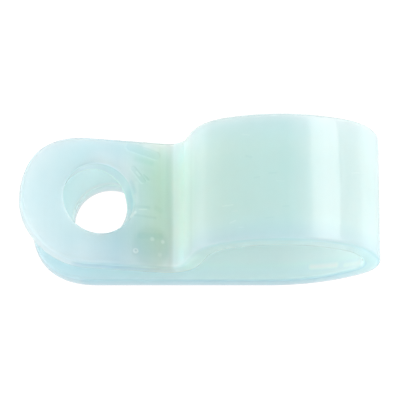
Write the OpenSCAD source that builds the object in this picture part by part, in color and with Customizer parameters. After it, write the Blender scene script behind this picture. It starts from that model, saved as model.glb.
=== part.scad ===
// P clip: a one-piece moulded nylon cable clamp, a strap of constant
// width folded into a loop with a screw tab at each end.
// Millimetres. +X runs from the tabs to the loop, +Y across the strap,
// +Z up from the mounting surface. The origin is the axis of the base
// hole where it meets the flat underside of the base.

/* [Strap] */
// Width of the strap, across Y
strap_w = 9.5; // [8.5:0.25:11]
// Thickness of the strap
strap_t = 1.25; // [1.1:0.05:1.4]
// Radius of the softened long edges
edge_r = 0.25; // [0.15:0.05:0.35]

/* [Screw tabs] */
// Bore of both screw holes
hole_d = 5.1; // [4.3:0.1:5.5]
// Width of the small bevel round the upper rim of both holes
rim_break = 0.15; // [0.1:0.05:0.25]
// Distance from each hole axis back to the centre of the tab end round
hole_back = 0.85; // [0.5:0.05:1.2]
// Slope of the upper tab in the free, unclamped state
tab_slope = 11; // [8:1:14]
// Distance from the fold at the neck to the axis of the upper hole
tab_reach = 4.7; // [4.4:0.05:5]

/* [Loop] */
// Flat length of the base from its hole axis to the start of the loop
base_len = 11.2; // [11:0.1:12]
// Outer radius of the long lift of the base towards the loop end
lift_r = 10.7; // [10:0.1:11.5]
// Angle of that lift
lift_a = 39; // [38:0.5:40]
// Outer radius of the tight lower corner at the loop end
nose_r = 2.85; // [2.7:0.05:3.1]
// Angle of that corner
nose_a = 63; // [62:0.5:64]
// Outer radius of the shoulder above it
shoulder_r = 4.3; // [4.1:0.05:4.5]
// Angle of that shoulder
shoulder_a = 53; // [52:0.5:54]
// Outer radius of the crown
crown_r = 10.7; // [10:0.1:11]
// Angle of the crown
crown_a = 47; // [46:0.5:48]
// Outer radius where the crown turns down to the neck
turn_r = 3.95; // [3.8:0.05:4.1]
// Angle of that turn
turn_a = 50; // [49:0.5:51]
// Straight length of the steep wall down to the neck
wall_len = 1.5; // [1.4:0.05:1.6]
// Radius of the valley between the steep wall and the upper tab
neck_r = 1.2; // [1:0.1:1.4]

/* [Hidden] */
$fn = 96;
half_t = strap_t / 2;
half_w = strap_w / 2;
// centre-line radii: the outer face lies on the right of the path
r1 = lift_r - half_t;
r2 = nose_r - half_t;
r3 = shoulder_r - half_t;
r4 = crown_r - half_t;
r5 = turn_r - half_t;
r6 = neck_r + half_t;
// headings along the path, anticlockwise from +X
h1 = lift_a;
h2 = h1 + nose_a;
h3 = h2 + shoulder_a;
h4 = h3 + crown_a;
h5 = h4 + turn_a;
h6 = 180 - tab_slope;
// end of an arc of signed radius r that turns the heading from h to g
function arc_end(p, r, h, g) = p + r * [sin(g) - sin(h), cos(h) - cos(g)];
p1 = [base_len, half_t];
p2 = arc_end(p1, r1, 0, h1);
p3 = arc_end(p2, r2, h1, h2);
p4 = arc_end(p3, r3, h2, h3);
p5 = arc_end(p4, r4, h3, h4);
p6 = arc_end(p5, r5, h4, h5);
p7 = p6 + wall_len * [cos(h5), sin(h5)];
p8 = arc_end(p7, -r6, h5, h6);
// every second length of strap is this much slimmer on each side and runs
// this far into its neighbours, so that each joint closes cleanly
slim = 0.01;
tuck = 0.1;

// strap section: thickness along x, width along y, edges rounded
module section(s = 0) {
  square([strap_t - 2 * edge_r - 2 * s, strap_w - 2 * s], center = true);
  square([strap_t - 2 * s, strap_w - 2 * edge_r - 2 * s], center = true);
  for (sx = [-1, 1], sy = [-1, 1])
    translate([sx * (half_t - edge_r - s), sy * (half_w - edge_r - s)])
      circle(r = edge_r);
}

// half of that section on its side, for the round tab ends
module half_section() {
  translate([0, -half_t]) square([half_w - edge_r, strap_t]);
  translate([0, -half_t + edge_r]) square([half_w, strap_t - 2 * edge_r]);
  for (s = [-1, 1])
    translate([half_w - edge_r, s * (half_t - edge_r)]) circle(r = edge_r);
}

// put a piece drawn from its own origin with heading +x onto the path
module on_path(p, h) {
  translate([p[0], 0, p[1]]) rotate([0, -h, 0]) rotate([90, 0, 0]) children();
}

// straight length of strap along +x
module run(len) {
  rotate([90, 0, 90]) linear_extrude(len) section();
}

// left-hand bend of centre-line radius r through angle a, from the origin
module bend(r, a) {
  translate([0, r, 0]) rotate([0, 0, -90])
    rotate_extrude(angle = a) translate([r, 0]) section();
}

// the same bend, slimmer and running on a little at both ends
module slim_bend(r, a) {
  over = tuck / r * 180 / PI;
  translate([0, r, 0]) rotate([0, 0, -90 - over])
    rotate_extrude(angle = a + 2 * over) translate([r, 0]) section(slim);
}

// bore and the bevel of its upper rim, along z through a tab centred on z = 0
module screw_hole() {
  cylinder(d = hole_d, h = strap_t + 2, center = true);
  translate([0, 0, half_t - rim_break])
    cylinder(r1 = hole_d / 2, r2 = hole_d / 2 + rim_break + 0.2, h = rim_break + 0.2);
}

// tab lying flat on z = 0 centre height, hole at the origin, strap running
// on along +x for len, half-round end behind the hole
module tab(len) {
  difference() {
    union() {
      translate([-hole_back, 0, 0]) rotate([90, 0, 0]) run(len + hole_back);
      translate([-hole_back, 0, 0]) rotate([0, 0, 90])
        rotate_extrude(angle = 180) half_section();
    }
    screw_hole();
  }
}

module clip() {
  color([0.86, 0.93, 0.93]) {
    // base with its screw tab
    translate([0, 0, half_t]) tab(base_len);
    // loop, from the base round to the steep wall
    on_path(p1, 0) slim_bend(r1, lift_a);
    on_path(p2, h1) bend(r2, nose_a);
    on_path(p3, h2) slim_bend(r3, shoulder_a);
    on_path(p4, h3) bend(r4, crown_a);
    on_path(p5, h4) slim_bend(r5, turn_a);
    on_path(p6, h5) run(wall_len);
    // valley at the neck, a right-hand bend
    on_path(p7, h5) mirror([0, 1, 0]) slim_bend(r6, h5 - h6);
    // upper screw tab
    translate([p8[0], 0, p8[1]]) rotate([0, tab_slope, 0])
      translate([-tab_reach, 0, 0]) tab(tab_reach);
  }
}

clip();
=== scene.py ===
import math

import bpy
import numpy as np
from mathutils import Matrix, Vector


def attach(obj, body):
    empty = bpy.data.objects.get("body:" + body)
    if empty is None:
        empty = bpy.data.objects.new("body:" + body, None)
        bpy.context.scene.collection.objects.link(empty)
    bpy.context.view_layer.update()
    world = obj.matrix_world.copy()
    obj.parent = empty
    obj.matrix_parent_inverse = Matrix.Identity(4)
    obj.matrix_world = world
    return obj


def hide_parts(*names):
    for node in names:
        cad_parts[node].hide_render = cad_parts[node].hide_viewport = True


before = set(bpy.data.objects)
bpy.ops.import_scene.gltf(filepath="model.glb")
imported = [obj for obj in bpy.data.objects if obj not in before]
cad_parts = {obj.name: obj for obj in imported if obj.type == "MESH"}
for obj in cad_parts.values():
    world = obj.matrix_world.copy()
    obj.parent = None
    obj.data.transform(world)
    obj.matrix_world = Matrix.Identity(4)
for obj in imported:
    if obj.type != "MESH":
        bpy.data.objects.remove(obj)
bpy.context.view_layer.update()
scene = bpy.context.scene

# ---------------------------------------------------------------------------
# camera first: long lens, looking along +Y and steeply down
# ---------------------------------------------------------------------------
MM = 0.001
ELEV = math.radians(68.0)
back = Vector((0.0, -math.cos(ELEV), math.sin(ELEV)))
up = Vector((0.0, math.sin(ELEV), math.cos(ELEV)))
aim = Vector((6.356, 0.0, 4.5)) * MM + up * (0.053 * MM)
cam_data = bpy.data.cameras.new("camera")
cam_data.sensor_width = 36.0
cam_data.lens = 4043.0 / 400.0 * 36.0
cam_data.clip_start, cam_data.clip_end = 0.01, 20.0
camera = bpy.data.objects.new("camera", cam_data)
scene.collection.objects.link(camera)
camera.location = aim + back * (285.0 * MM)
camera.rotation_mode = "QUATERNION"
camera.rotation_quaternion = (-back).to_track_quat("-Z", "Y")
scene.camera = camera

# ---------------------------------------------------------------------------
# the strap, millimetres, the same figures as the CAD source
# ---------------------------------------------------------------------------
WIDE, THICK = 9.5, 1.25
HW, HT = WIDE / 2, THICK / 2
EDGE = 0.25                      # softened long edges
BORE, RIM = 2.55, 0.15           # hole radius, softened upper rim
HOLE_BACK = 0.85                 # hole axis to the centre of the end round
REACH, SLOPE = 4.7, 11.0         # upper tab
BASE_LEN = 11.2
# (length, curvature) along the middle of the strap, from the tip of the base
SEGMENTS = [(HW + HOLE_BACK + BASE_LEN, 0.0)]
for outer, angle in ((10.7, 39), (2.85, 63), (4.3, 53), (10.7, 47), (3.95, 50)):
    r = outer - HT
    SEGMENTS.append((r * math.radians(angle), 1.0 / r))
SEGMENTS.append((1.5, 0.0))
NECK = 1.2 + HT
SEGMENTS.append((NECK * math.radians(252 - (180 - SLOPE)), -1.0 / NECK))
SEGMENTS.append((REACH + HOLE_BACK + HW, 0.0))
LENGTH = sum(a for a, _ in SEGMENTS)
S_BASE = HW + HOLE_BACK                      # base hole
S_UPPER = LENGTH - HW - HOLE_BACK            # upper hole
S_NECK = S_UPPER - REACH                     # where the upper tab starts
S_VALLEY = S_NECK - SEGMENTS[-2][0]


def path(s):
    """x, z and heading of the strap's middle at distance s from the tip of the base."""
    s = np.asarray(s, float)
    x, z, h = np.zeros_like(s), np.zeros_like(s), np.zeros_like(s)
    px, pz, ph, s0 = -(HW + HOLE_BACK), HT, 0.0, 0.0
    for k, (length, curve) in enumerate(SEGMENTS):
        last = k == len(SEGMENTS) - 1
        inside = (s >= s0) & ((s < s0 + length) | last) | ((k == 0) & (s < 0))
        d = s[inside] - s0
        if curve == 0:
            x[inside] = px + d * math.cos(ph)
            z[inside] = pz + d * math.sin(ph)
            h[inside] = ph
            px, pz = px + length * math.cos(ph), pz + length * math.sin(ph)
        else:
            r = 1.0 / curve
            g = ph + d * curve
            x[inside] = px + r * (np.sin(g) - math.sin(ph))
            z[inside] = pz + r * (math.cos(ph) - np.cos(g))
            h[inside] = g
            g = ph + length * curve
            px, pz = px + r * (math.sin(g) - math.sin(ph)), pz + r * (math.cos(ph) - math.cos(g))
            ph = g
        s0 += length
    return x, z, h


# ---------------------------------------------------------------------------
# one closed mesh: flat outline with two holes in (s, y), skinned top and
# bottom, rounded edges, then wrapped along the path
# ---------------------------------------------------------------------------
points, normals, quads = [], [], []      # (s, y, t), its normal there, and corner numbers


def patch(grid, normal, flip):
    """A grid of (s, y, t) points, rows by columns, as quads."""
    rows, cols = grid.shape[:2]
    first = len(points)
    points.extend(grid.reshape(-1, 3).tolist())
    normals.extend(np.broadcast_to(np.asarray(normal, float), grid.shape).reshape(-1, 3).tolist())
    for i in range(rows - 1):
        for j in range(cols - 1):
            a = first + i * cols + j
            q = (a, a + 1, a + cols + 1, a + cols)
            quads.append(q[::-1] if flip else q)


NY = 44                                        # cells across the strap
JOIN = 4.3                                     # hole axis to the end of a tab's own grid
INNER = HW - EDGE
ys = np.linspace(-INNER, INNER, NY + 1)
step = 2 * INNER / NY
s_left, s_right = S_BASE + JOIN, S_UPPER - JOIN
# columns along the run, closer together in the tight bends
cuts, s0 = [], 0.0
for length, curve in SEGMENTS:
    a, b = max(s0, s_left), min(s0 + length, s_right)
    if b > a + 1e-6:
        pitch = 0.22 if curve == 0 else min(0.22, math.radians(2.6) / abs(curve))
        n = max(1, int(math.ceil((b - a) / pitch)))
        cuts.extend(np.linspace(a, b, n + 1)[:-1].tolist())
    s0 += length
cuts.append(s_right)
run_s = np.array(cuts)


def tab_outline(side):
    """Skeleton point, outward direction of a tab's boundary, from one long edge round the end to the other.
    side -1 is the base tab, +1 the upper one."""
    hole = S_BASE if side < 0 else S_UPPER
    centre = hole + side * HOLE_BACK
    join = s_left if side < 0 else s_right
    n = int(round(abs(join - centre) / step))
    m = 64
    skel, way = [], []
    for k in range(n):
        skel.append((join + (centre - join) * k / n, 0.0))
        way.append((0.0, 1.0))
    for k in range(m + 1):
        # the ends are a little squarer than a true half round
        a = math.pi / 2 + math.pi * k / m
        full = 0.06 if side < 0 else (0.04 if a < math.pi else -0.012)
        r = 1 + full * math.sin(2 * a) ** 2
        dr = 2 * full * math.sin(4 * a)
        ox, oy = math.cos(a), math.sin(a)
        nx, ny = r * ox + dr * oy, r * oy - dr * ox
        size = math.hypot(nx, ny)
        nx, ny = nx / size, ny / size
        flip = 1 if side < 0 else -1
        skel.append((centre + flip * HW * (r * ox - nx), HW * (r * oy - ny)))
        way.append((flip * nx, ny))
    for k in range(1, n + 1):
        skel.append((centre + (join - centre) * k / n, 0.0))
        way.append((0.0, -1.0))
    return np.array(skel), np.array(way), hole, join


def hole_shape(side, ang, t):
    """How far the wall of a hole stands off its nominal radius, and how that changes with height.
    The upper hole is drawn out towards the back edge and has a lip of flash low on the loop side."""
    if side < 0:
        return np.zeros_like(ang), np.zeros_like(ang)
    far = np.clip(np.cos(ang - math.radians(80)), 0, 1) ** 1.5
    near = np.clip(np.cos(ang + math.radians(90)), 0, 1)
    lip = np.clip(-np.cos(ang + math.radians(6)), 0, 1) ** 1.2
    low = (HT - t) / THICK
    return 0.27 * far - 0.08 * near - lip * (0.06 + 0.32 * low), lip * 0.32 / THICK


LAYERS = 14
tabs = {}
for side in (-1, 1):
    skel, way, hole, join = tab_outline(side)
    outline = skel + way * INNER
    # close the loop along the joining line, from -y back to +y
    line = np.stack([np.full(NY - 1, join), ys[1:-1]], 1)
    loop = np.vstack([outline, line])
    ang = np.arctan2(loop[:, 1], loop[:, 0] - hole)
    ring = np.stack([np.cos(ang), np.sin(ang)], 1)
    tabs[side] = (skel, way, hole, loop, ring)
    for t in (HT, -HT):
        # upper rim of each hole is the softened one: the inner face of the base, the outer face of the upper tab
        soft = (t < 0) if side < 0 else (t > 0)
        rad = BORE + (RIM if soft else 0.04) + hole_shape(side, ang, t)[0]
        rim = np.array([hole, 0.0]) + ring * rad[:, None]
        f = (np.linspace(0, 1, LAYERS + 1) ** 0.85)[:, None, None]
        grid = loop[None] * (1 - f) + rim[None] * f
        grid = np.concatenate([grid, grid[:, :1]], 1)
        g3 = np.concatenate([grid, np.full(grid.shape[:2] + (1,), t)], 2)
        patch(g3, (0, 0, math.copysign(1, t)), (t > 0) == (side < 0))
    # wall of the hole, round rims
    soft_top = side > 0
    prof = []
    top_r, bot_r = (RIM, 0.04) if soft_top else (0.04, RIM)
    for k in range(7):
        a = math.pi / 2 * k / 6
        prof.append((BORE + top_r * (1 - math.sin(a)), HT - top_r * (1 - math.cos(a)), math.sin(a), math.cos(a)))
    for k in range(1, 6):
        prof.append((BORE, HT - top_r + (THICK - top_r - bot_r) * -k / 6, 1.0, 0.0))
    for k in range(7):
        a = math.pi / 2 * k / 6
        prof.append((BORE + bot_r * (1 - math.cos(a)), -HT + bot_r * (1 - math.sin(a)), math.cos(a), -math.sin(a)))
    wall = np.zeros((len(prof), len(ring) + 1, 3))
    lean = np.zeros_like(wall)
    closed = np.vstack([ring, ring[:1]])
    turn = np.concatenate([ang, ang[:1]])
    for i, (rad, t, inward, along) in enumerate(prof):
        off, slant = hole_shape(side, turn, t)
        wall[i, :, 0] = hole + closed[:, 0] * (rad + off)
        wall[i, :, 1] = closed[:, 1] * (rad + off)
        wall[i, :, 2] = t
        lean[i, :, :2] = -closed * inward
        lean[i, :, 2] = along + inward * slant
    lean /= np.linalg.norm(lean, axis=2, keepdims=True)
    patch(wall, lean, side < 0)

# the run between the tabs
for t in (HT, -HT):
    g3 = np.zeros((len(run_s), NY + 1, 3))
    g3[:, :, 0] = run_s[:, None]
    g3[:, :, 1] = ys[None]
    g3[:, :, 2] = t
    patch(g3, (0, 0, math.copysign(1, t)), t < 0)

# outer edge all the way round
skel_l, way_l = tabs[-1][0], tabs[-1][1]
skel_u, way_u = tabs[1][0], tabs[1][1]
mid = run_s[1:-1]
skel = np.vstack([skel_l, np.stack([mid, 0 * mid], 1), skel_u[::-1], np.stack([mid[::-1], 0 * mid], 1), skel_l[:1]])
way = np.vstack([way_l, np.tile((0.0, -1.0), (len(mid), 1)), way_u[::-1], np.tile((0.0, 1.0), (len(mid), 1)), way_l[:1]])
prof = []
for k in range(8):
    a = math.pi / 2 * k / 7
    prof.append((EDGE * (1 - math.sin(a)), HT - EDGE * (1 - math.cos(a)), math.sin(a), math.cos(a)))
for k in range(1, 5):
    prof.append((0.0, HT - EDGE - (THICK - 2 * EDGE) * k / 5, 1.0, 0.0))
for k in range(8):
    a = math.pi / 2 * k / 7
    prof.append((EDGE * (1 - math.cos(a)), -HT + EDGE * (1 - math.sin(a)), math.cos(a), -math.sin(a)))
rim = np.zeros((len(prof), len(skel), 3))
lean = np.zeros_like(rim)
for i, (inset, t, outward, along) in enumerate(prof):
    rim[i, :, :2] = skel + way * (HW - inset)
    rim[i, :, 2] = t
    lean[i, :, :2] = way * outward
    lean[i, :, 2] = along
patch(rim, lean, True)

flat = np.array(points)
keys = np.round(flat * 2000).astype(np.int64)
_, first, inverse = np.unique(keys, axis=0, return_index=True, return_inverse=True)
inverse = inverse.reshape(-1)
flat = flat[first]
tilt = np.array(normals)[first]
faces = []
for q in quads:
    c = [int(inverse[v]) for v in q]
    c = [v for k, v in enumerate(c) if v != c[k - 1]]
    if len(set(c)) >= 3:
        faces.append(tuple(c))

# wrap
s, y, t = flat[:, 0], flat[:, 1], flat[:, 2]
x, z, h = path(s)
px = x + t * np.sin(h)
pz = z - t * np.cos(h)
co = np.stack([px, y, pz], 1) * MM
facing = np.stack([tilt[:, 0] * np.cos(h) + tilt[:, 2] * np.sin(h), tilt[:, 1],
                   tilt[:, 0] * np.sin(h) - tilt[:, 2] * np.cos(h)], 1)

# every face winds the way its exact normals point
for k, c in enumerate(faces):
    d1, d2 = co[c[1]] - co[c[0]], co[c[2]] - co[c[0]]
    n = np.cross(d1, d2)
    if len(c) == 4:
        n = n + np.cross(co[c[2]] - co[c[0]], co[c[3]] - co[c[0]])
    if n @ facing[list(c)].sum(0) < 0:
        faces[k] = c[::-1]

mesh = bpy.data.meshes.new("clip_strap")
mesh.from_pydata(co.tolist(), [], faces)
mesh.update()
for p in mesh.polygons:
    p.use_smooth = True
mesh.normals_split_custom_set_from_vertices(facing.tolist())
# place along and across the strap, in millimetres, for the surface detail
uv = mesh.uv_layers.new(name="strap")
loops = np.zeros(len(mesh.loops), np.int64)
mesh.loops.foreach_get("vertex_index", loops)
uv_data = np.zeros((len(loops), 2), np.float32)
uv_data[:, 0] = s[loops] / 60.0
uv_data[:, 1] = (y[loops] + 5.0) / 60.0
uv.data.foreach_set("uv", uv_data.ravel())
level = mesh.attributes.new("depth", "FLOAT", "POINT")
level.data.foreach_set("value", t.astype(np.float32))

clip = bpy.data.objects.new("moulded_clip", mesh)
scene.collection.objects.link(clip)

# ---------------------------------------------------------------------------
# natural nylon
# ---------------------------------------------------------------------------
nylon = bpy.data.materials.new("natural_nylon")
nylon.use_nodes = True
nt = nylon.node_tree
nodes, links = nt.nodes, nt.links
nodes.clear()
out = nodes.new("ShaderNodeOutputMaterial")
bsdf = nodes.new("ShaderNodeBsdfPrincipled")
links.new(bsdf.outputs["BSDF"], out.inputs["Surface"])
bsdf.inputs["IOR"].default_value = 1.53
bsdf.inputs["Subsurface Weight"].default_value = 1.0
bsdf.inputs["Subsurface Radius"].default_value = (0.8, 1.0, 1.05)
bsdf.inputs["Subsurface Scale"].default_value = 0.010
bsdf.inputs["Roughness"].default_value = 0.22

geo = nodes.new("ShaderNodeTexCoord")
where = geo.outputs["Object"]


def texture_noise(scale, detail=3.0, rough=0.5, vector=None):
    n = nodes.new("ShaderNodeTexNoise")
    n.inputs["Scale"].default_value = scale
    n.inputs["Detail"].default_value = detail
    n.inputs["Roughness"].default_value = rough
    links.new(vector or where, n.inputs["Vector"])
    return n.outputs["Fac"]


def span(value, a, b, c, d):
    m = nodes.new("ShaderNodeMapRange")
    m.inputs["From Min"].default_value, m.inputs["From Max"].default_value = a, b
    m.inputs["To Min"].default_value, m.inputs["To Max"].default_value = c, d
    links.new(value, m.inputs["Value"])
    return m.outputs["Result"]


def math_node(op, a, b):
    m = nodes.new("ShaderNodeMath")
    m.operation = op
    for k, v in enumerate((a, b)):
        if isinstance(v, (int, float)):
            m.inputs[k].default_value = v
        else:
            links.new(v, m.inputs[k])
    return m.outputs[0]


def mix_colour(fac, a, b):
    m = nodes.new("ShaderNodeMix")
    m.data_type = "RGBA"
    links.new(fac, m.inputs[0])
    for k, v in ((6, a), (7, b)):
        if isinstance(v, tuple):
            m.inputs[k].default_value = v
        else:
            links.new(v, m.inputs[k])
    return m.outputs[2]


# tint along the strap in millimetres: bluish tabs and ends, darker towards the tip of the base tab, greener where the
# strap is thick or folded. The ramp also carries painted light and shade: lighter on the steep wall down into the neck
# (about 41.6 to 44 mm) and darker on the upper tab just past the neck (about 44.2 to 48 mm), where the dome shades it.
TINT_AND_PAINTED_LIGHT = (
    (1.0, (0.38, 0.61, 0.73)),
    (4.5, (0.46, 0.72, 0.82)),
    (22.0, (0.50, 0.75, 0.82)),
    (26.0, (0.54, 0.80, 0.84)),
    (28.0, (0.59, 0.86, 0.90)),
    (31.0, (0.61, 0.87, 0.91)),
    (33.5, (0.48, 0.72, 0.70)),
    (38.0, (0.46, 0.61, 0.55)),
    (40.0, (0.46, 0.575, 0.515)),
    (41.6, (0.58, 0.77, 0.65)),
    (42.8, (0.72, 0.93, 0.79)),
    (43.85, (0.78, 0.99, 0.83)),
    (44.2, (0.66, 0.84, 0.64)),
    (45.3, (0.54, 0.69, 0.50)),
    (46.6, (0.45, 0.64, 0.57)),
    (48.3, (0.395, 0.615, 0.685)),
    (50.8, (0.50, 0.75, 0.87)),
    (53.2, (0.52, 0.755, 0.875)),
    (54.2, (0.50, 0.74, 0.86)),
    (55.1, (0.45, 0.70, 0.83)),
)
# multipliers: painted light on the inner face of the loop, painted shade on the long side faces, and the bluer margins
# beside them
INSIDE_PAINTED_LIGHT, SIDE_PAINTED_SHADE, MARGIN = (1.27, 1.46, 1.20), (0.76, 0.82, 0.86), (0.93, 0.97, 1.08)
# painted light on the loop's side faces, lifting the side shade there; painted shade on the loop's outer face and inner
# face towards the front edge
LOOP_SIDE, LOOP_FRONT_SHADE, INSIDE_FRONT_SHADE = (1.09, 1.14, 1.02), (0.90, 0.90, 0.97), (0.86, 0.86, 0.96)
# painted shade on the upper tab's side faces, and a painted highlight along their upper rounded edge
TAB_SIDE_SHADE, TAB_EDGE_HIGHLIGHT = (0.88, 0.93, 0.98), (1.30, 1.22, 1.12)
# moulding marks, small dimples and scratches, with some painted highlights and broad painted light, on the outer face
# (those before 26 mm on the inner face), millimetres along and across the strap:
# from, to, half width, softness, height, change of red, green, blue
MARKS_AND_HIGHLIGHTS = (
    (47.34, 4.23, 45.54, 3.70, 0.26, 0.15, -0.0080, -0.09, -0.05, -0.02),
    (46.25, 4.30, 45.50, 4.16, 0.08, 0.22, 0.0000, 0.10, 0.06, 0.08),
    (46.89, 3.35, 45.87, 3.10, 0.05, 0.30, 0.0000, -0.10, -0.05, -0.07),
    (47.14, 2.58, 46.45, 1.72, 0.13, 0.14, -0.0072, -0.10, -0.06, -0.07),
    (46.89, 2.30, 46.70, 2.08, 0.02, 0.12, 0.0032, 0.16, 0.10, 0.10),
    (46.38, 2.11, 46.06, 1.79, 0.03, 0.11, -0.0040, -0.12, -0.07, -0.08),
    (47.30, 1.50, 47.06, 0.80, 0.04, 0.24, -0.0040, -0.12, -0.07, -0.03),
    # painted highlight along the loop-side rim of the upper hole
    (46.90, 1.45, 46.84, 0.11, 0.02, 0.24, 0.0016, 0.08, 0.05, 0.05),
    # painted highlight on the same rim, in front of the middle, on a slight raised bump
    (47.30, -1.10, 46.97, -0.72, 0.03, 0.12, 0.0048, 0.30, 0.17, 0.17),
    (46.67, -0.51, 46.18, -0.47, 0.01, 0.08, 0.0024, 0.16, 0.10, 0.08),
    (47.05, -0.30, 46.02, -0.32, 0.02, 0.18, -0.0028, -0.10, -0.06, -0.06),
    (47.05, -0.95, 45.54, -1.08, 0.01, 0.17, -0.0028, -0.09, -0.06, -0.06),
    (45.86, -3.05, 45.80, -3.50, 0.95, 0.60, -0.0056, -0.10, -0.09, -0.10),
    (46.60, -2.50, 45.20, -2.45, 0.10, 0.25, -0.0024, -0.08, -0.04, -0.03),
    # a small ring-shaped dimple; its bright ring is a painted glint
    (46.92, -3.66, 46.92, -3.66, 0.14, 0.11, 0.0060, 0.42, 0.24, 0.22),
    (46.92, -3.62, 46.92, -3.62, 0.02, 0.12, -0.0060, -0.50, -0.30, -0.26),
    # small raised dots; their light tone is a painted glint
    (45.75, -2.68, 45.75, -2.68, 0.07, 0.15, 0.0040, 0.24, 0.14, 0.18),
    (44.98, -2.84, 44.98, -2.84, 0.06, 0.15, 0.0040, 0.24, 0.14, 0.20),
    (45.20, -3.83, 45.20, -3.83, 0.05, 0.18, 0.0024, 0.14, 0.08, 0.10),
    (45.44, -0.30, 45.16, -0.50, 0.06, 0.25, 0.0000, -0.07, -0.04, -0.06),
    (36.50, 3.26, 35.99, 3.15, 0.00, 0.07, 0.0030, 0.08, 0.04, 0.03),
    (36.22, 1.58, 35.88, 1.47, 0.02, 0.09, -0.0040, -0.06, -0.04, -0.03),
    (34.70, 0.18, 34.26, 0.20, 0.01, 0.09, -0.0040, -0.07, -0.04, -0.03),
    (35.65, -0.09, 35.37, -0.05, 0.01, 0.09, -0.0040, -0.06, -0.04, -0.03),
    (34.20, -0.38, 33.75, -0.43, 0.00, 0.07, 0.0030, 0.06, 0.03, 0.03),
    (37.84, -1.98, 37.14, -1.97, 0.01, 0.07, 0.0040, 0.10, 0.06, 0.05),
    (37.14, -2.46, 36.85, -2.46, 0.00, 0.07, 0.0030, 0.10, 0.03, 0.04),
    (37.33, -3.30, 36.98, -3.18, 0.01, 0.09, 0.0040, 0.10, 0.05, 0.05),
    (36.73, -3.70, 36.44, -3.73, 0.00, 0.07, 0.0030, 0.10, 0.05, 0.05),
    (34.93, -3.14, 34.42, -3.11, 0.01, 0.07, -0.0030, -0.06, -0.03, -0.02),
    (33.80, -2.31, 33.47, -2.26, 0.01, 0.09, -0.0030, -0.06, -0.03, -0.02),
    (29.12, 0.67, 28.60, 0.81, 0.00, 0.07, 0.0030, 0.08, 0.04, 0.04),
    # painted highlight streaks on the inner face, beside the front edge
    (20.10, -3.94, 22.10, -4.10, 0.02, 0.30, 0.0040, 0.28, 0.14, 0.26),
    (22.90, -4.26, 24.60, -4.42, 0.00, 0.28, 0.0040, 0.14, 0.08, 0.14),
    # broad painted light on the upper tab
    (48.80, 2.60, 48.20, 2.50, 0.20, 2.10, 0.0000, 0.46, 0.19, 0.28),
    (50.20, -3.90, 47.60, -3.80, 0.20, 1.50, 0.0000, 0.14, 0.07, 0.07),
)
place = nodes.new("ShaderNodeUVMap")
place.uv_map = "strap"
split = nodes.new("ShaderNodeSeparateXYZ")
links.new(place.outputs["UV"], split.inputs[0])
along, across = split.outputs[0], split.outputs[1]
ramp = nodes.new("ShaderNodeValToRGB")
stops = ramp.color_ramp.elements
while len(stops) < len(TINT_AND_PAINTED_LIGHT):
    stops.new(0.5)
for e, (at, c) in zip(stops, TINT_AND_PAINTED_LIGHT):
    e.position = at / 60.0
for e, (at, c) in zip(stops, TINT_AND_PAINTED_LIGHT):
    e.position, e.color = at / 60.0, c + (1.0,)
links.new(along, ramp.inputs["Fac"])


def vector_math(op, *inputs):
    m = nodes.new("ShaderNodeVectorMath")
    m.operation = op
    for k, v in enumerate(inputs):
        slot = m.inputs["Scale"] if op == "SCALE" and k == 1 else m.inputs[k]
        if isinstance(v, (int, float, tuple)):
            slot.default_value = v
        else:
            links.new(v, slot)
    return m.outputs["Value"] if op in ("DOT_PRODUCT", "LENGTH") else m.outputs["Vector"]


def soft_span(value, a, b, c, d):
    m = nodes.new("ShaderNodeMapRange")
    m.interpolation_type = "SMOOTHSTEP"
    m.inputs["From Min"].default_value, m.inputs["From Max"].default_value = a, b
    m.inputs["To Min"].default_value, m.inputs["To Max"].default_value = c, d
    links.new(value, m.inputs["Value"])
    return m.outputs["Result"]


def toward(colour, factor):
    """A multiplier that goes from white to the given colour."""
    return mix_colour(factor, (1, 1, 1, 1), tuple(colour) + (1,))


# strap coordinates in millimetres: along, across, and height from the middle of the thickness
level = nodes.new("ShaderNodeAttribute")
level.attribute_name = "depth"
mm = nodes.new("ShaderNodeCombineXYZ")
along_mm = math_node("MULTIPLY", along, 60.0)
links.new(along_mm, mm.inputs[0])
links.new(math_node("SUBTRACT", math_node("MULTIPLY", across, 60.0), 5.0), mm.inputs[1])
flat_mm = mm.outputs[0]
solid = nodes.new("ShaderNodeVectorMath")
solid.operation = "ADD"
links.new(flat_mm, solid.inputs[0])
lift = nodes.new("ShaderNodeCombineXYZ")
links.new(level.outputs["Fac"], lift.inputs[2])
links.new(lift.outputs[0], solid.inputs[1])
solid_mm = solid.outputs[0]

side_y = math_node("ABSOLUTE", math_node("SUBTRACT", math_node("MULTIPLY", across, 60.0), 5.0), 0.0)
outer_face = soft_span(level.outputs["Fac"], HT - 0.2, HT - 0.05, 0.0, 1.0)
inner_face = soft_span(level.outputs["Fac"], -HT + EDGE, -HT + 0.02, 0.0, 1.0)

mark_and_highlight_tone, mark_height = None, None
for s1, y1, s2, y2, width, soft, height, dr, dg, db in MARKS_AND_HIGHLIGHTS:
    if height == 0 and dr == 0:
        continue
    a, b = Vector((s1, y1, 0)), Vector((s2, y2, 0))
    rel = vector_math("SUBTRACT", flat_mm, tuple(a))
    if (b - a).length > 1e-6:
        run = b - a
        h = math_node("MINIMUM", math_node("MAXIMUM", vector_math("DOT_PRODUCT", rel, tuple(run / run.length_squared)), 0.0), 1.0)
        rel = vector_math("SUBTRACT", rel, vector_math("SCALE", tuple(run), h))
    mask = soft_span(vector_math("LENGTH", rel), width, width + soft, 1.0, 0.0)
    mask = math_node("MULTIPLY", mask, outer_face if s1 > 26 else inner_face)
    tone = vector_math("SCALE", (dr, dg, db), mask)
    mark_and_highlight_tone = tone if mark_and_highlight_tone is None else vector_math("ADD", mark_and_highlight_tone, tone)
    if height:
        up_by = math_node("MULTIPLY", mask, height)
        mark_height = up_by if mark_height is None else math_node("ADD", mark_height, up_by)

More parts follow.
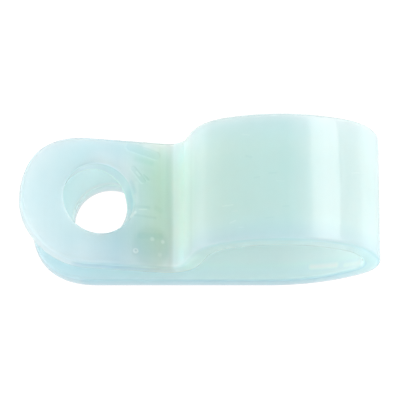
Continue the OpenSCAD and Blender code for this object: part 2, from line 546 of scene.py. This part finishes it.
# colour: tint along the strap with painted light and shade in it, cloudiness, painted light and shade on the faces,
# margins, marks and painted highlights
cloud = span(texture_noise(260.0, 3.0), 0.3, 0.7, 0.985, 1.015)
colour = vector_math("SCALE", ramp.outputs["Color"], cloud)
y_mm = math_node("SUBTRACT", math_node("MULTIPLY", across, 60.0), 5.0)
# painted light: the inner face of the loop, and the back half of the base tab's upper face, made lighter
within = math_node("MAXIMUM", soft_span(along_mm, 8.0, 13.0, 0.0, 1.0), soft_span(y_mm, -2.5, -0.5, 0.0, 1.0))
within = math_node("MULTIPLY", within, inner_face)
colour = vector_math("MULTIPLY", colour, toward(INSIDE_PAINTED_LIGHT, within))
# the painted light on the base tab's upper face under the upper tab turned bluer and less green
under_tab = math_node("MULTIPLY", within, soft_span(along_mm, 9.0, 12.0, 1.0, 0.0))
colour = vector_math("MULTIPLY", colour, toward((0.99, 0.95, 1.10), under_tab))
# painted light on the wall of the base hole
base_wall_light = soft_span(vector_math("LENGTH", vector_math("SUBTRACT", flat_mm, (S_BASE, 0.0, 0.0))), 2.66, 2.76, 1.0, 0.0)
colour = vector_math("MULTIPLY", colour, toward((1.14, 1.26, 1.22), base_wall_light))
# painted light on the back part of the upper hole's wall, below its softened rim
upper_wall = soft_span(vector_math("LENGTH", vector_math("SUBTRACT", flat_mm, (S_UPPER, 0.0, 0.0))), 2.86, 2.96, 1.0, 0.0)
upper_wall = math_node("MULTIPLY", upper_wall, soft_span(level.outputs["Fac"], HT - 0.32, HT - 0.14, 1.0, 0.0))
colour = vector_math("MULTIPLY", colour, toward((1.14, 1.08, 1.10), math_node("MULTIPLY", upper_wall, soft_span(y_mm, 0.6, 1.8, 0.0, 1.0))))
# painted shade on the loop-side part of the same wall
loop_wall_shade = math_node("MULTIPLY", soft_span(along_mm, 47.4, 48.4, 1.0, 0.0), soft_span(y_mm, 0.6, 1.6, 1.0, 0.0))
colour = vector_math("MULTIPLY", colour, toward((0.76, 0.86, 0.94), math_node("MULTIPLY", upper_wall, loop_wall_shade)))
# painted shade on the inner face of the loop towards its front edge
fore = soft_span(y_mm, -4.3, -3.1, 1.0, 0.0)
fore = math_node("MULTIPLY", fore, math_node("MULTIPLY", soft_span(along_mm, 8.0, 13.0, 0.0, 1.0), soft_span(along_mm, 25.0, 28.0, 1.0, 0.0)))
lower = soft_span(level.outputs["Fac"], -HT + 0.36, -HT + 0.20, 0.0, 1.0)
colour = vector_math("MULTIPLY", colour, toward(INSIDE_FRONT_SHADE, math_node("MULTIPLY", fore, lower)))
# painted shade on the long side faces
flank = soft_span(side_y, HW - 0.16, HW - 0.03, 0.0, 1.0)
colour = vector_math("MULTIPLY", colour, toward(SIDE_PAINTED_SHADE, flank))
# that painted shade made lighter on the loop's side faces
loop = math_node("MULTIPLY", soft_span(along_mm, 22.0, 25.0, 0.0, 1.0), soft_span(along_mm, 42.0, 44.5, 1.0, 0.0))
colour = vector_math("MULTIPLY", colour, toward(LOOP_SIDE, math_node("MULTIPLY", flank, loop)))
# deeper painted shade on the upper tab's side faces, and a painted highlight along their upper rounded edge
tab = soft_span(along_mm, 44.5, 47.0, 0.0, 1.0)
edge = math_node("MULTIPLY", flank, soft_span(level.outputs["Fac"], HT - 0.45, HT - 0.25, 0.0, 1.0))
colour = vector_math("MULTIPLY", colour, toward(TAB_SIDE_SHADE, math_node("MULTIPLY", flank, tab)))
colour = vector_math("MULTIPLY", colour, toward(TAB_EDGE_HIGHLIGHT, math_node("MULTIPLY", edge, tab)))
# painted shade on the loop's outer face towards the front edge
near = soft_span(y_mm, -4.6, -3.0, 1.0, 0.0)
upper = soft_span(level.outputs["Fac"], HT - 0.32, HT - 0.14, 0.0, 1.0)
colour = vector_math("MULTIPLY", colour, toward(LOOP_FRONT_SHADE, math_node("MULTIPLY", near, math_node("MULTIPLY", loop, upper))))
colour = vector_math("MULTIPLY", colour, toward(MARGIN, soft_span(side_y, 2.0, 4.6, 0.0, 1.0)))
# moulding marks and scratches, with the painted highlights and glints among them
colour = vector_math("MULTIPLY", colour, vector_math("ADD", mark_and_highlight_tone, (1.0, 1.0, 1.0)))
links.new(colour, bsdf.inputs["Base Color"])

# the strap is denser where it springs from the neck, so light spreads less there
spread = math_node("MULTIPLY", soft_span(along_mm, 41.0, 42.8, 0.0, 1.0), soft_span(along_mm, 43.85, 44.15, 1.0, 0.0))
links.new(vector_math("SCALE", (0.8, 1.0, 1.05), span(spread, 0.0, 1.0, 1.0, 0.3)), bsdf.inputs["Subsurface Radius"])

# gloss: slightly cloudy; faint tool lines run across the strap
cross = nodes.new("ShaderNodeVectorMath")
cross.operation = "MULTIPLY"
links.new(solid_mm, cross.inputs[0])
cross.inputs[1].default_value = (5.0, 0.12, 5.0)
lines = texture_noise(1.0, 1.0, 0.4, cross.outputs[0])
rough_map = span(texture_noise(900.0, 4.0), 0.3, 0.7, 0.07, 0.14)
links.new(rough_map, bsdf.inputs["Roughness"])

# relief in millimetres: slight waviness, tool lines, a fine grain, the marks
wavy = texture_noise(0.9, 2.0, 0.5, solid_mm)
relief = math_node("MULTIPLY", wavy, 0.010)
relief = math_node("ADD", relief, math_node("MULTIPLY", lines, 0.0030))
relief = math_node("ADD", relief, math_node("MULTIPLY", texture_noise(4000.0, 3.0, 0.6), 0.0012))
relief = math_node("ADD", relief, mark_height)
relief = math_node("MULTIPLY", relief, soft_span(side_y, HW - 0.45, HW - 0.2, 1.0, 0.0))
bump = nodes.new("ShaderNodeBump")
bump.inputs["Strength"].default_value = 1.0
bump.inputs["Distance"].default_value = 0.001
links.new(relief, bump.inputs["Height"])
links.new(bump.outputs["Normal"], bsdf.inputs["Normal"])

mesh.materials.append(nylon)
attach(clip, "root")
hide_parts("clip")

# ---------------------------------------------------------------------------
# pale floor, soft studio light
# ---------------------------------------------------------------------------
F = 3.0


def floor_sheet(name, z, glow):
    """A pale matt sheet on the studio table, a little luminous like a light table."""
    sheet = bpy.data.meshes.new(name)
    sheet.from_pydata([(-F, -F, 0), (F, -F, 0), (F, F, 0), (-F, F, 0)], [], [(0, 1, 2, 3)])
    o = bpy.data.objects.new(name, sheet)
    scene.collection.objects.link(o)
    o.location = (0, 0, z)
    mat = bpy.data.materials.new(name)
    mat.use_nodes = True
    p = mat.node_tree.nodes["Principled BSDF"]
    p.inputs["Base Color"].default_value = (0.20, 0.20, 0.20, 1)
    p.inputs["Roughness"].default_value = 0.9
    p.inputs["Specular IOR Level"].default_value = 0.2
    p.inputs["Emission Color"].default_value = (1, 1, 1, 1)
    p.inputs["Emission Strength"].default_value = glow
    sheet.materials.append(mat)
    return o


# the sheet that is seen, and a dimmer one in the same place that lights the part from below
floor = floor_sheet("floor", -0.00006, 0.88)
floor.visible_diffuse = floor.visible_glossy = False
fill = floor_sheet("floor_light", -0.00002, 0.66)
fill.visible_camera = fill.visible_transmission = fill.visible_shadow = False

world = bpy.data.worlds.new("studio")
scene.world = world
world.use_nodes = True
wt = world.node_tree
bg = wt.nodes["Background"]
bg.inputs["Strength"].default_value = 1.0
way = wt.nodes.new("ShaderNodeTexCoord")
axes = wt.nodes.new("ShaderNodeSeparateXYZ")
wt.links.new(way.outputs["Generated"], axes.inputs[0])


def world_math(op, a, b, c=None, clamp=False):
    m = wt.nodes.new("ShaderNodeMath")
    m.operation = op
    m.use_clamp = clamp
    for k, v in enumerate((a, b, c)):
        if v is None:
            continue
        if isinstance(v, (int, float)):
            m.inputs[k].default_value = v
        else:
            wt.links.new(v, m.inputs[k])
    return m.outputs[0]


# a dim tent with a pale horizon: the soft boxes do the lighting
X, Z = axes.outputs[0], axes.outputs[2]
sides = world_math("MULTIPLY", X, X)
dim = world_math("MULTIPLY_ADD", sides, 0.10, 0.08)
rise = world_math("MULTIPLY_ADD", world_math("ABSOLUTE", Z, 0.0), -8.0, 1.0, clamp=True)
wt.links.new(world_math("MULTIPLY_ADD", rise, 0.8, dim), bg.inputs["Strength"])
bg.inputs["Color"].default_value = (0.98, 0.99, 1.0, 1)


def soft_box(name, azimuth, elevation, wide, tall, radiance, colour=(1, 1, 1), gloss=True, diffuse=True):
    """A rectangular soft box 0.4 m from the part. Azimuth is from +X towards +Y."""
    data = bpy.data.lights.new(name, "AREA")
    data.shape = "RECTANGLE"
    data.size, data.size_y = wide, tall
    data.energy = radiance * math.pi * wide * tall
    data.color = colour
    o = bpy.data.objects.new(name, data)
    o.visible_glossy, o.visible_diffuse = gloss, diffuse
    scene.collection.objects.link(o)
    a, e = math.radians(azimuth), math.radians(elevation)
    d = Vector((math.cos(e) * math.cos(a), math.cos(e) * math.sin(a), math.sin(e)))
    o.location = Vector((0.008, 0, 0.005)) + d * 0.4
    o.rotation_mode = "QUATERNION"
    o.rotation_quaternion = (-d).to_track_quat("-Z", "Y")
    return o


soft_box("strip_right", 35, 48.5, 0.18, 0.125, 2.5)
soft_box("strip_frame", 37, 48, 0.26, 0.23, 0.45)
soft_box("wall_right", 20, 14, 0.70, 0.20, 2.95, gloss=False)
soft_box("shoulder_right", 30, 38, 0.45, 0.20, 1.0, gloss=False)
soft_box("wall_left", 185, 20, 0.50, 0.30, 3.3, gloss=False)
soft_box("edge_sheen", 220, 18, 0.46, 0.10, 2.5, diffuse=False)
soft_box("front_sheen", 270, 22, 0.30, 0.24, 1.0, diffuse=False)
soft_box("front_fill", 270, 25, 0.50, 0.30, 0.42, gloss=False)
soft_box("top_front", 270, 78, 0.24, 0.24, 1.5, gloss=False)
soft_box("top_back", 90, 78, 0.20, 0.20, 1.65, gloss=False)

scene.view_settings.view_transform = "Standard"
scene.view_settings.look = "None"
scene.view_settings.exposure = 0.0
scene.view_settings.gamma = 1.0

bpy.context.view_layer.update()
